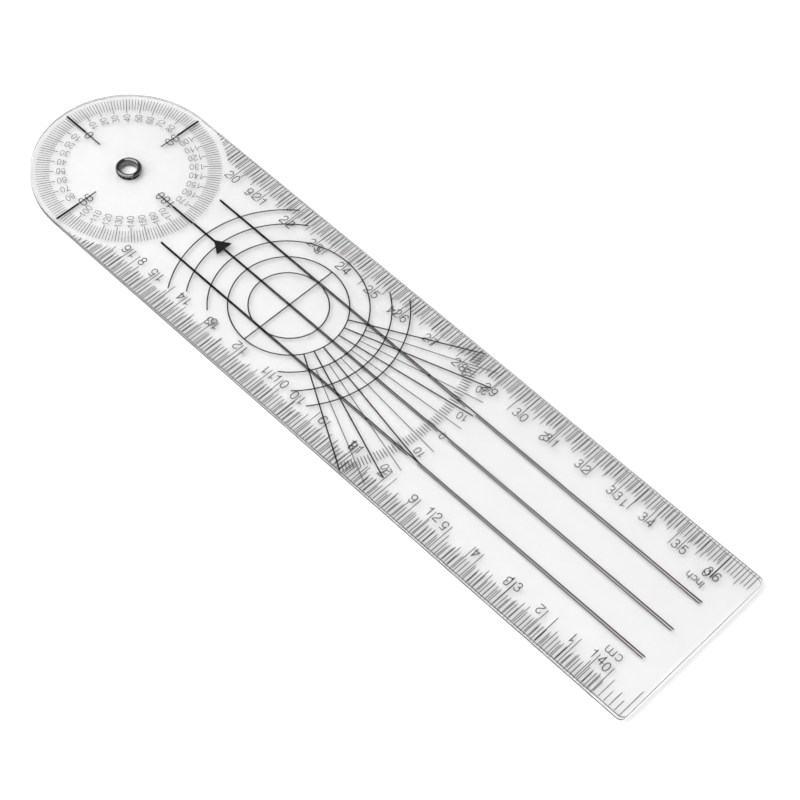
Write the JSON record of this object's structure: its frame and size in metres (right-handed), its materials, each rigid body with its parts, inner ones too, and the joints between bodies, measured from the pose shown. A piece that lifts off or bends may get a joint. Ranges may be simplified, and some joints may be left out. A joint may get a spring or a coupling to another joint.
{
  "type": "goniometer",
  "caption": "Flat two-arm goniometer of clear plastic sheet with a degree dial, pointer arrow, ruler scales and a hollow eyelet pivot.",
  "frame": {"origin": "on the pivot axis, in the plane of the lower plate's underside", "axes": "+X along the arms to their square ends, +Z along the pivot axis to the printed side, +Y across the arms"},
  "size_m": [0.2146, 0.0504, 0.0025],
  "materials": {
    "clear_sheet": "clear polished sheet",
    "eyelet_metal": "polished dark nickel plate",
    "printed_ink": "screen-printed black ink"
  },
  "bodies": {
    "dial_arm": {"dial_arm_plate": "clear_sheet", "pivot_eyelet": "eyelet_metal", "dial_degree_ticks": "printed_ink", "dial_zero_cross": "printed_ink", "dial_arm_cm_ticks": "printed_ink", "dial_arm_inch_ticks": "printed_ink", "dial_arm_guide_lines": "printed_ink", "curvature_circles": "printed_ink", "circle_axis_line": "printed_ink", "angle_fan_lines": "printed_ink", "angle_fan_ticks": "printed_ink"},
    "pointer_arm": {"pointer_arm_plate": "clear_sheet", "pointer_arm_cm_ticks": "printed_ink", "pointer_arm_inch_ticks": "printed_ink", "pointer_arm_guide_lines": "printed_ink", "pointer_arrow": "printed_ink"}
  },
  "joints": [
    {"name": "arm_hinge", "type": "hinge", "parent": "dial_arm", "child": "pointer_arm", "pos_m": [0, 0, 0.0011], "axis": [0, 0, 1], "continuous": true}
  ]
}
